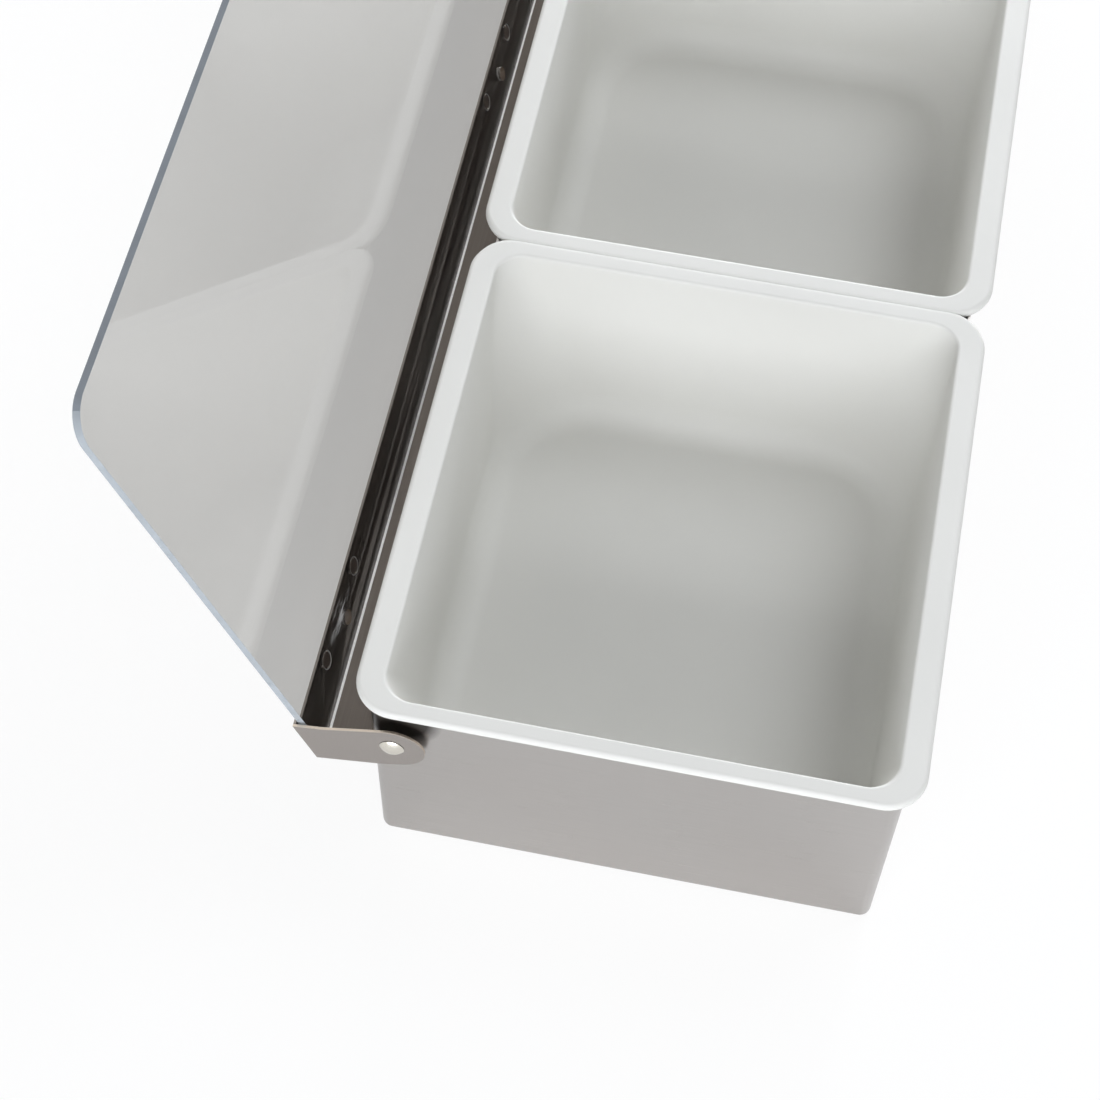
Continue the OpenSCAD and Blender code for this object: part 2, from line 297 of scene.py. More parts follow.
class CaddyColours(bpy.types.PropertyGroup):
    """Colours of the finishes"""

    tub: FloatVectorProperty(
        name="Tub plastic", description="White of the moulded tubs", size=4, min=0, max=1,
        subtype="COLOR", default=hex_colour("#DEDDD8"),
    )
    tray: FloatVectorProperty(
        name="Tray steel", description="Tint of the brushed tray", size=4, min=0, max=1,
        subtype="COLOR", default=hex_colour("#B8B5B2"),
    )
    bracket: FloatVectorProperty(
        name="Bracket steel", description="Tint of the web and the flange", size=4, min=0, max=1,
        subtype="COLOR", default=hex_colour("#A09B96"),
    )
    ear: FloatVectorProperty(
        name="Ear steel", description="Tint of the bracket's buffed ears", size=4, min=0, max=1,
        subtype="COLOR", default=hex_colour("#A6A09B"),
    )
    rivet: FloatVectorProperty(
        name="Rivets", description="Tint of the polished rivets", size=4, min=0, max=1,
        subtype="COLOR", default=hex_colour("#DFDACF"),
    )
    washer: FloatVectorProperty(
        name="Washers", description="Natural nylon of the pivot washers", size=4, min=0, max=1,
        subtype="COLOR", default=hex_colour("#E4E0D2"),
    )
    sheet: FloatVectorProperty(
        name="Clear sheet", description="Faint grey of the clear sheet", size=4, min=0, max=1,
        subtype="COLOR", default=hex_colour("#CFCECC"),
    )
    # The front edge and the two ends are one polished finish: the front edge's darker blue grey is
    # painted shade, the ends' paler blue painted light where they face the lamps
    sheet_edge: FloatVectorProperty(
        name="Sheet edge", description="Blue grey of the polished front edge", size=4, min=0, max=1,
        subtype="COLOR", default=hex_colour("#A9B1BA"),
    )
    sheet_side: FloatVectorProperty(
        name="Sheet side", description="Pale blue of the two polished ends", size=4, min=0, max=1,
        subtype="COLOR", default=hex_colour("#D3DBE2"),
    )
    floor: FloatVectorProperty(
        name="Floor", description="Plain pale floor", size=4, min=0, max=1,
        subtype="COLOR", default=hex_colour("#FCFCFB"),
    )


# ---- materials ----


def satin_polypropylene(colour):
    """Injection-moulded white polypropylene: a soft satin sheen over a faintly pebbled skin."""
    material, tree = empty_material("satin_white_polypropylene")
    place = add_node(tree, "ShaderNodeTexCoord").outputs["Object"]
    # The mould's spark-eroded skin is near 0.25 mm, drawn at 0.6 mm so that it shows
    pebble = add_node(tree, "ShaderNodeTexNoise", {"Vector": place, "Scale": 1700.0, "Detail": 2.0})
    # Flow of the plastic in the mould leaves cloudy patches some 40 mm across
    cloud = add_node(tree, "ShaderNodeTexNoise", {"Vector": place, "Scale": 25.0, "Detail": 3.0})
    tone = add_node(
        tree, "ShaderNodeMix",
        {"Factor": cloud.outputs["Fac"], "A": colour, "B": [c * 0.955 for c in colour[:3]] + [1]},
        data_type="RGBA",
    )
    sheen = add_node(
        tree, "ShaderNodeMapRange",
        {
            "Value": cloud.outputs["Fac"], "From Min": 0.3, "From Max": 0.7,
            "To Min": 0.56, "To Max": 0.64,
        },
    )
    skin = add_node(
        tree, "ShaderNodeBump",
        {"Height": pebble.outputs["Fac"], "Strength": 0.06, "Distance": 0.05 * MM},
    )
    shader = add_node(
        tree, "ShaderNodeBsdfPrincipled",
        {
            "Base Color": tone.outputs["Result"], "Roughness": sheen.outputs["Result"],
            "IOR": 1.49, "Normal": skin.outputs["Normal"],
        },
    )
    add_node(tree, "ShaderNodeOutputMaterial", {"Surface": shader.outputs[0]})
    return material


def brushed_stainless(name, colour, grain, rough, depth, shade=0.0):
    """Brushed stainless: fine parallel scratches that stretch each reflection across them.

    Depth is how dark the scratches are, and shade how dark the steel is behind the ears.
    """
    material, tree = empty_material(name)
    place = add_node(tree, "ShaderNodeTexCoord").outputs["Object"]
    lines = add_node(tree, "ShaderNodeMapping", {"Vector": place, "Scale": grain})
    # Belt grit leaves scratches 0.1 mm apart, drawn at 0.4 mm so that they show
    scratch = add_node(
        tree, "ShaderNodeTexNoise",
        {"Vector": lines.outputs["Vector"], "Scale": 1.0, "Detail": 4.0, "Roughness": 0.7},
    )
    # Handling and cleaning leave warm and cool patches some 50 mm across
    patch = add_node(tree, "ShaderNodeTexNoise", {"Vector": place, "Scale": 20.0, "Detail": 2.0})
    warm = [colour[0], colour[1] * 0.975, colour[2] * 0.965, 1]
    tint = add_node(
        tree, "ShaderNodeMix", {"Factor": patch.outputs["Fac"], "A": colour, "B": warm},
        data_type="RGBA",
    )
    dark = add_node(
        tree, "ShaderNodeMapRange",
        {
            "Value": scratch.outputs["Fac"], "From Min": 0.25, "From Max": 0.75,
            "To Min": 1 - depth, "To Max": 1.0,
        },
    )
    lined = add_node(
        tree, "ShaderNodeMix",
        {"Factor": 1.0, "A": tint.outputs["Result"], "B": dark.outputs["Result"]},
        data_type="RGBA", blend_type="MULTIPLY",
    )
    if shade:
        # The gap between ear and end wall lies in deep shade, which soft lamps would wash out:
        # the wall darkens above each pivot, and is plain again 9 mm along and 12 mm across and up
        axes = add_node(tree, "ShaderNodeSeparateXYZ", {"Vector": place})
        either = add_node(tree, "ShaderNodeMath", {0: axes.outputs["X"]}, operation="ABSOLUTE")
        folded = add_node(
            tree, "ShaderNodeCombineXYZ",
            {"X": either.outputs[0], "Y": axes.outputs["Y"], "Z": axes.outputs["Z"]},
        )
        deepest = (TRAY_HI.x, HINGE.y - 1 * MM, HINGE.z + 11 * MM)
        away = add_node(
            tree, "ShaderNodeVectorMath", {0: folded.outputs["Vector"], 1: deepest},
            operation="SUBTRACT",
        )
        scaled = add_node(
            tree, "ShaderNodeMapping", {"Vector": away.outputs[0], "Scale": (120.0, 88.0, 90.0)}
        )
        reach = add_node(
            tree, "ShaderNodeVectorMath", {0: scaled.outputs["Vector"]}, operation="LENGTH"
        )
        black = add_node(
            tree, "ShaderNodeMapRange",
            {
                "Value": reach.outputs["Value"], "From Min": 0.7, "From Max": 1.05,
                "To Min": shade, "To Max": 0.0,
            },
        )
        lined = add_node(
            tree, "ShaderNodeMix",
            {
                "Factor": black.outputs["Result"], "A": lined.outputs["Result"],
                "B": hex_colour("#2A2523"),
            },
            data_type="RGBA",
        )
    gloss = add_node(
        tree, "ShaderNodeMapRange",
        {
            "Value": scratch.outputs["Fac"], "From Min": 0.25, "From Max": 0.75,
            "To Min": rough * 1.2, "To Max": rough * 0.85,
        },
    )
    relief = add_node(
        tree, "ShaderNodeBump",
        {"Height": scratch.outputs["Fac"], "Strength": 0.05, "Distance": 0.03 * MM},
    )
    shader = add_node(
        tree, "ShaderNodeBsdfPrincipled",
        {
            "Base Color": lined.outputs["Result"], "Metallic": 1.0,
            "Roughness": gloss.outputs["Result"], "Normal": relief.outputs["Normal"],
        },
    )
    add_node(tree, "ShaderNodeOutputMaterial", {"Surface": shader.outputs[0]})
    return material


def tumbled_steel(colour):
    """Tumble-polished rivet steel: bright, with soft-edged reflections and a few faint dings."""
    material, tree = empty_material("polished_rivet_steel")
    place = add_node(tree, "ShaderNodeTexCoord").outputs["Object"]
    # Dings from tumbling, about 0.5 mm across
    ding = add_node(tree, "ShaderNodeTexNoise", {"Vector": place, "Scale": 2000.0, "Detail": 1.0})
    tone = add_node(
        tree, "ShaderNodeMix",
        {"Factor": ding.outputs["Fac"], "A": colour, "B": [c * 0.9 for c in colour[:3]] + [1]},
        data_type="RGBA",
    )
    relief = add_node(
        tree, "ShaderNodeBump",
        {"Height": ding.outputs["Fac"], "Strength": 0.08, "Distance": 0.04 * MM},
    )
    shader = add_node(
        tree, "ShaderNodeBsdfPrincipled",
        {
            "Base Color": tone.outputs["Result"], "Metallic": 1.0, "Roughness": 0.2,
            "Normal": relief.outputs["Normal"],
        },
    )
    add_node(tree, "ShaderNodeOutputMaterial", {"Surface": shader.outputs[0]})
    return material


def natural_nylon(colour):
    """Punched natural nylon: milky and matt, with a slightly mottled tone."""
    material, tree = empty_material("natural_nylon")
    place = add_node(tree, "ShaderNodeTexCoord").outputs["Object"]
    # Crystals in the nylon cloud it in patches near 1 mm
    mottle = add_node(tree, "ShaderNodeTexNoise", {"Vector": place, "Scale": 1000.0, "Detail": 2.0})
    tone = add_node(
        tree, "ShaderNodeMix",
        {"Factor": mottle.outputs["Fac"], "A": colour, "B": [c * 0.88 for c in colour[:3]] + [1]},
        data_type="RGBA",
    )
    shader = add_node(
        tree, "ShaderNodeBsdfPrincipled",
        {"Base Color": tone.outputs["Result"], "Roughness": 0.5, "IOR": 1.53},
    )
    add_node(tree, "ShaderNodeOutputMaterial", {"Surface": shader.outputs[0]})
    return material


def clear_acrylic(colour, scuffed):
    """Cast acrylic sheet: clear and glossy, faintly grey, with wiping marks and a scuffed spot."""
    material, tree = empty_material("clear_cast_acrylic")
    place = add_node(tree, "ShaderNodeTexCoord").outputs["Object"]
    # Wiping leaves long hairlines 0.5 mm apart, drawn at 1 mm so that they show
    wiped = add_node(
        tree, "ShaderNodeMapping", {"Vector": place, "Scale": (12.0, 900.0, 900.0)}
    )
    marks = add_node(
        tree, "ShaderNodeTexNoise",
        {"Vector": wiped.outputs["Vector"], "Scale": 1.0, "Detail": 3.0},
    )
    haze = add_node(
        tree, "ShaderNodeMapRange",
        {
            "Value": marks.outputs["Fac"], "From Min": 0.4, "From Max": 0.8,
            "To Min": 0.012, "To Max": 0.05,
        },
    )
    # White scratches above one locating hole, over a spot 20 mm long and 8 mm high
    away = add_node(tree, "ShaderNodeVectorMath", {0: place, 1: scuffed}, operation="SUBTRACT")
    spot = add_node(
        tree, "ShaderNodeMapping", {"Vector": away.outputs[0], "Scale": (100.0, 250.0, 250.0)}
    )
    reach = add_node(tree, "ShaderNodeVectorMath", {0: spot.outputs["Vector"]}, operation="LENGTH")
    near = add_node(
        tree, "ShaderNodeMapRange",
        {
            "Value": reach.outputs["Value"], "From Min": 0.3, "From Max": 1.0,
            "To Min": 1.0, "To Max": 0.0,
        },
    )
    # The strokes run along the sheet, 11 mm long and 2 mm apart
    drawn_out = add_node(
        tree, "ShaderNodeMapping", {"Vector": away.outputs[0], "Scale": (90.0, 500.0, 500.0)}
    )
    strokes = add_node(
        tree, "ShaderNodeTexNoise",
        {
            "Vector": drawn_out.outputs["Vector"], "Scale": 1.0, "Detail": 4.0,
            "Distortion": 0.8,
        },
    )
    drawn = add_node(
        tree, "ShaderNodeMapRange",
        {
            "Value": strokes.outputs["Fac"], "From Min": 0.5, "From Max": 0.6,
            "To Min": 0.0, "To Max": 0.9,
        },
    )
    scratch = add_node(
        tree, "ShaderNodeMath", {0: near.outputs["Result"], 1: drawn.outputs["Result"]},
        operation="MULTIPLY",
    )
    unmarked = add_node(
        tree, "ShaderNodeMath", {0: 1.0, 1: scratch.outputs[0]}, operation="SUBTRACT"
    )
    shader = add_node(
        tree, "ShaderNodeBsdfPrincipled",
        {
            "Base Color": colour, "Roughness": haze.outputs["Result"], "IOR": 1.49,
            "Transmission Weight": unmarked.outputs[0],
        },
    )
    add_node(tree, "ShaderNodeOutputMaterial", {"Surface": shader.outputs[0]})
    return material


def acrylic_edge(name, colour, grain, rough, clear, painted_glow):
    """Cut face of the sheet: grey polished, white sawn; its emission is painted light.

    Grain is the scale of the marks, clear the share of light let in, and glow how strongly
    the edge shines: an emission that is painted light for light carried along the sheet.
    """
    material, tree = empty_material(name)
    place = add_node(tree, "ShaderNodeTexCoord").outputs["Object"]
    # Ripple of the flame or marks of the saw
    marks = add_node(tree, "ShaderNodeTexNoise", {"Vector": place, "Scale": grain, "Detail": 2.0})
    tone = add_node(
        tree, "ShaderNodeMix",
        {"Factor": marks.outputs["Fac"], "A": colour, "B": [c * 0.72 for c in colour[:3]] + [1]},
        data_type="RGBA",
    )
    # Painted light: the emission is brighter in some places than in others, some 60 mm apart
    flow = add_node(tree, "ShaderNodeTexNoise", {"Vector": place, "Scale": 16.0, "Detail": 1.0})
    painted_piped_light = add_node(
        tree, "ShaderNodeMapRange",
        {
            "Value": flow.outputs["Fac"], "From Min": 0.4, "From Max": 0.6,
            "To Min": painted_glow * 0.6, "To Max": painted_glow,
        },
    )
    # The emission is painted light, standing in for light carried along the sheet to its edge
    shader = add_node(
        tree, "ShaderNodeBsdfPrincipled",
        {
            "Base Color": tone.outputs["Result"], "Roughness": rough, "IOR": 1.49,
            "Transmission Weight": clear, "Emission Color": tone.outputs["Result"],
            "Emission Strength": painted_piped_light.outputs["Result"],
        },
    )
    add_node(tree, "ShaderNodeOutputMaterial", {"Surface": shader.outputs[0]})
    return material


def studio_paper(colour):
    """Matt white paper sweep: even and shadow-keeping, with a trace of mottle."""
    material, tree = empty_material("matt_white_paper")
    place = add_node(tree, "ShaderNodeTexCoord").outputs["Object"]
    mottle = add_node(tree, "ShaderNodeTexNoise", {"Vector": place, "Scale": 8.0, "Detail": 2.0})
    tone = add_node(
        tree, "ShaderNodeMix",
        {"Factor": mottle.outputs["Fac"], "A": colour, "B": [c * 0.99 for c in colour[:3]] + [1]},
        data_type="RGBA",
    )
    shader = add_node(
        tree, "ShaderNodeBsdfPrincipled",
        {"Base Color": tone.outputs["Result"], "Roughness": 0.9, "Specular IOR Level": 0.0},
    )
    # The camera sees mostly plain white paper, glass and metal a third of it, so that
    # the sweep reads white and keeps its shadow
    shares = (("Is Camera Ray", 0.88), ("Is Transmission Ray", 0.36), ("Is Glossy Ray", 0.35))
    ray = add_node(tree, "ShaderNodeLightPath")
    share = 0.0
    for kind, part in shares:
        share = add_node(
            tree, "ShaderNodeMath", {0: ray.outputs[kind], 1: part, 2: share},
            operation="MULTIPLY_ADD", use_clamp=True,
        ).outputs[0]
    white = add_node(tree, "ShaderNodeEmission", {"Color": hex_colour("#FFFFFF"), "Strength": 1.0})
    mixed = add_node(
        tree, "ShaderNodeMixShader", {0: share, 1: shader.outputs[0], 2: white.outputs[0]}
    )
    add_node(tree, "ShaderNodeOutputMaterial", {"Surface": mixed.outputs[0]})
    return material


# ---- shaping helpers ----


def finish_piece(name, bm, materials, body, nodes, sharp=35):
    """Turns a bmesh into a smooth object that rides on its body and stands for its nodes."""
    mesh = bpy.data.meshes.new(name)
    bm.to_mesh(mesh)
    bm.free()
    for material in materials:
        mesh.materials.append(material)
    mesh.shade_smooth()
    mesh.set_sharp_from_angle(angle=math.radians(sharp))
    piece = bpy.data.objects.new(name, mesh)
    bpy.context.scene.collection.objects.link(piece)
    even = piece.modifiers.new("even_shading", "WEIGHTED_NORMAL")
    even.keep_sharp = True
    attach(piece, body)
    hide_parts(*nodes)
    return piece


def lid_open():
    """Carries a point of the closed lid, measured from the pivot, to its place when open."""
    angle = bpy.context.scene.caddy_sizes.open_angle
    return Matrix.Translation(HINGE) @ Matrix.Rotation(-angle, 4, "X")


def first_ring(length, width, corner, z, steps):
    """A flat face with round corners, as a bmesh: a square whose corners are beveled."""
    bm = bmesh.new()
    bmesh.ops.create_grid(bm, x_segments=1, y_segments=1, size=0.5)
    bmesh.ops.scale(bm, verts=bm.verts, vec=(length, width, 1))
    bmesh.ops.translate(bm, verts=bm.verts, vec=(0, 0, z))
    bmesh.ops.bevel(
        bm, geom=bm.verts[:], affect="VERTICES", offset=corner, offset_type="OFFSET",
        segments=steps, profile=0.5, material=-1,
    )
    return bm


def made_verts(made):
    """The vertices among what a bmesh operator made."""
    return [g for g in made if isinstance(g, bmesh.types.BMVert)]


def made_edges(made):
    """The edges among what a bmesh operator made."""
    return [g for g in made if isinstance(g, bmesh.types.BMEdge)]


def move_ring(verts, old, new):
    """Moves a ring of vertices between round-cornered rectangles (length, width, corner, z)."""
    for vert in verts:
        side = Vector((math.copysign(1, vert.co.x), math.copysign(1, vert.co.y)))
        centre = Vector((side.x * (old[0] / 2 - old[2]), side.y * (old[1] / 2 - old[2])))
        out = (vert.co.xy - centre).normalized()
        target = Vector((side.x * (new[0] / 2 - new[2]), side.y * (new[1] / 2 - new[2])))
        vert.co = (*(target + out * new[2]), new[3])


def loft(rings, steps=12):
    """A closed solid through round-cornered rectangles, capped at the first and the last."""
    bm = first_ring(*rings[0], steps)
    edges = bm.edges[:]
    for old, new in zip(rings, rings[1:]):
        made = bmesh.ops.extrude_edge_only(bm, edges=edges)["geom"]
        edges = made_edges(made)
        move_ring(made_verts(made), old, new)
    bmesh.ops.contextual_create(bm, geom=edges)
    bmesh.ops.recalc_face_normals(bm, faces=bm.faces[:])
    return bm


def arc_steps(start, end, count):
    """Evenly spaced angles from start to end, given in degrees."""
    return [math.radians(start + (end - start) * i / count) for i in range(count + 1)]


def spun(profile, axis, steps=40):
    """A closed round solid: a profile of (radius, height) points spun about the axis."""
    bm = bmesh.new()
    side = Vector((0, 1, 0)) if axis == "X" else Vector((1, 0, 0))
    along = Vector((1, 0, 0)) if axis == "X" else Vector((0, 0, 1))
    verts = [bm.verts.new(side * r + along * h) for r, h in profile]
    edges = [bm.edges.new(pair) for pair in zip(verts, verts[1:])]
    bmesh.ops.spin(
        bm, geom=verts + edges, cent=(0, 0, 0), axis=along, angle=math.tau,
        steps=steps, use_merge=True, use_duplicate=False,
    )
    bmesh.ops.remove_doubles(bm, verts=bm.verts[:], dist=SAME)
    bmesh.ops.recalc_face_normals(bm, faces=bm.faces[:])
    return bm


def dome_profile(radius, height, base, count=8):
    """Profile of a low dome from its rim to its top, standing on the height base."""
    ball = (radius**2 + height**2) / (2 * height)
    centre = base + height - ball
    tilts = [math.asin(radius / ball) * (1 - i / count) for i in range(count + 1)]
    return [(ball * math.sin(tilt), centre + ball * math.cos(tilt)) for tilt in tilts]


def plate_with_holes(outline, holes, z):
    """A flat face bounded by an outline, pierced by round holes given as (x, y, radius)."""
    bm = bmesh.new()
    verts = [bm.verts.new((x, y, z)) for x, y in outline]
    edges = [bm.edges.new((a, b)) for a, b in zip(verts, verts[1:] + verts[:1])]
    for x, y, radius in holes:
        ring = bmesh.ops.create_circle(
            bm, cap_ends=False, radius=radius, segments=32, matrix=Matrix.Translation((x, y, z))
        )["verts"]
        edges += dict.fromkeys(edge for vert in ring for edge in vert.link_edges)
    bmesh.ops.triangle_fill(bm, edges=edges, use_beauty=True)
    bmesh.ops.recalc_face_normals(bm, faces=bm.faces[:])
    if bm.faces[:][0].normal.z < 0:
        bmesh.ops.reverse_faces(bm, faces=bm.faces[:])
    return bm


def soften(bm, width, angle, segments=2):
    """Bevels every edge whose two faces meet at more than the angle, in degrees."""
    limit = math.radians(angle)
    edges = [e for e in bm.edges if len(e.link_faces) == 2 and e.calc_face_angle(0) > limit]
    bmesh.ops.bevel(
        bm, geom=edges, affect="EDGES", offset=width, offset_type="OFFSET", segments=segments,
        profile=0.5, material=-1, clamp_overlap=True,
    )


def rivet_places():
    """(x, y) of each sheet rivet and each locating hole, from the pivot with the lid closed."""
    sizes = bpy.context.scene.caddy_sizes
    along = []
    for number in range(1, 7):
        low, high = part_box(f"sheet_rivet_{number}")
        along.append((low.x + high.x) / 2)
    rivets = [(x, -sizes.rivet_row) for x in along]
    middles = [(first + second) / 2 for first, second in zip(along[::2], along[1::2])]
    locating = [(x + sizes.locating_shift, -sizes.locating_row) for x in middles]
    return rivets, locating


def near_any(point, places, distance):
    """Whether a point lies this near to one of the places, seen from above the closed lid."""
    return any((point.xy - Vector(place)).length < distance for place in places)


# ---- pieces ----


class CADDY_OT_tray(bpy.types.Operator):
    """Fold the brushed steel tray"""

    bl_idname = "caddy.tray"
    bl_label = "Tray"

    def execute(self, context):
        sizes, colours = context.scene.caddy_sizes, context.scene.caddy_colours
        size = TRAY_HI - TRAY_LO
        bm = bmesh.new()
        bmesh.ops.create_cube(bm, size=1)
        bmesh.ops.scale(bm, verts=bm.verts, vec=size)
        bmesh.ops.translate(bm, verts=bm.verts, vec=(TRAY_LO + TRAY_HI) / 2)
        upright = [e for e in bm.edges if abs(e.verts[0].co.z - e.verts[1].co.z) > size.z / 2]
        bmesh.ops.bevel(
            bm, geom=upright, affect="EDGES", offset=sizes.tray_corner, offset_type="OFFSET",
            segments=8, profile=0.5, material=-1,
        )
        top = [f for f in bm.faces if f.normal.z > 0.9]
        bmesh.ops.delete(bm, geom=top, context="FACES_ONLY")
        bottom = [e for e in bm.edges if all(v.co.z < TRAY_LO.z + SAME for v in e.verts)]
        bmesh.ops.bevel(
            bm, geom=bottom, affect="EDGES", offset=sizes.tray_bend, offset_type="OFFSET",
            segments=6, profile=0.5, material=-1,
        )
        bmesh.ops.recalc_face_normals(bm, faces=bm.faces[:])
        steel = brushed_stainless(
            "brushed_stainless_tray", colours.tray[:], (30.0, 30.0, 2500.0), 0.3, 0.03, shade=0.95
        )
        tray = finish_piece("tray_shell", bm, [steel], "caddy", ["tray"])
        wall = tray.modifiers.new("sheet_thickness", "SOLIDIFY")
        wall.thickness, wall.offset, wall.use_even_offset = sizes.steel, -1, True
        edge = tray.modifiers.new("deburred_edge", "BEVEL")
        edge.width, edge.segments = TRAY_DEBURR, 2
        edge.limit_method, edge.angle_limit = "ANGLE", math.radians(60)
        # The even shading comes after the wall and its edge
        tray.modifiers.move(0, 2)
        return {"FINISHED"}


class CADDY_OT_tubs(bpy.types.Operator):
    """Mould the three white tubs"""

    bl_idname = "caddy.tubs"
    bl_label = "Tubs"

    def rings(self, sizes):
        """Round-cornered rectangles from a tub's underside, over its rim and down to its floor."""
        length, width = TUB_HI.x - TUB_LO.x, TUB_HI.y - TUB_LO.y
        top = TUB_HI.z
        under, soft, ease = top - sizes.rim_thickness, sizes.rim_rounding, sizes.mouth_easing
        wall, depth, fillet = sizes.tub_wall, sizes.tub_depth, sizes.floor_fillet
        straight = depth - fillet
        mouth = (length - 2 * sizes.rim_end, width - 2 * sizes.rim_side, sizes.mouth_corner)
        slope = math.tan(sizes.tub_draft)

        def body(drop, grow):
            """The tapering body, this far below the rim's top and grown outwards this much."""
            share = min(1, drop / straight)
            corner = mouth[2] + (sizes.floor_corner - mouth[2]) * share
            inset = drop * slope - grow
            return mouth[0] - 2 * inset, mouth[1] - 2 * inset, corner + grow, top - drop

        def turn(angle, grow):
            """The fillet between wall and floor, grown outwards this much."""
            radius = fillet + grow
            across, over, corner, _ = body(depth, grow)
            back = radius * (1 - math.cos(angle))
            height = top - straight - radius * math.sin(angle)
            return across - 2 * back, over - 2 * back, corner - back, height

        def rim(inset, z):
            """The rim's outline, moved in this much."""
            return length - 2 * inset, width - 2 * inset, sizes.rim_corner - inset, z

        def eased(angle):
            """The rounded edge from the rim's top into the mouth."""
            out = ease * (1 - math.sin(angle))
            down = ease * (1 - math.cos(angle))
            return mouth[0] + 2 * out, mouth[1] + 2 * out, mouth[2] + out, top - down

        # Outside, from the floor up to the rim
        rows = [turn(a, wall) for a in arc_steps(90, 15, 5)]
        rows += [body(straight * (1 - i / 8), wall) for i in range(7)]
        rows.append(body(sizes.rim_thickness, wall))
        # Rim: flat underside, rounded outer edge, flat top, eased mouth
        rows += [rim(RIM_NIP, under), rim(0, under + RIM_NIP)]
        rows += [
            rim(soft * (1 - math.cos(a)), top - soft + soft * math.sin(a))
            for a in arc_steps(0, 90, 5)
        ]
        rows += [eased(a) for a in arc_steps(0, 75, 5)]
        # Inside, from the mouth down to the floor
        rows += [body(ease + (straight - ease) * i / 8, 0) for i in range(9)]
        rows += [turn(a, 0) for a in arc_steps(15, 90, 5)]
        return rows

    def press(self, bm, side, sizes):
        """Stretches one side of the rim to press against the next tub's, so that no gap shows."""
        flat = (TUB_HI.x - TUB_LO.x) / 2 - sizes.rim_end
        under = TUB_HI.z - sizes.rim_thickness - SAME
        for vert in bm.verts:
            share = (side * vert.co.x - flat) / sizes.rim_end
            if share > 0 and vert.co.z > under:
                vert.co.x += side * sizes.rim_press * share

    def execute(self, context):
        sizes, colours = context.scene.caddy_sizes, context.scene.caddy_colours
        plastic = satin_polypropylene(colours.tub[:])
        rings = self.rings(sizes)
        for node, facing in (("tub_left", (1,)), ("tub_middle", (-1, 1)), ("tub_right", (-1,))):
            low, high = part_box(node)
            middle = (low + high) / 2
            bm = loft(rings)
            for side in facing:
                self.press(bm, side, sizes)
            bmesh.ops.translate(bm, verts=bm.verts, vec=(middle.x, middle.y, 0))
            finish_piece(
                f"{node}_moulding", bm, [plastic], "caddy", [node], sharp=50
            )
        return {"FINISHED"}


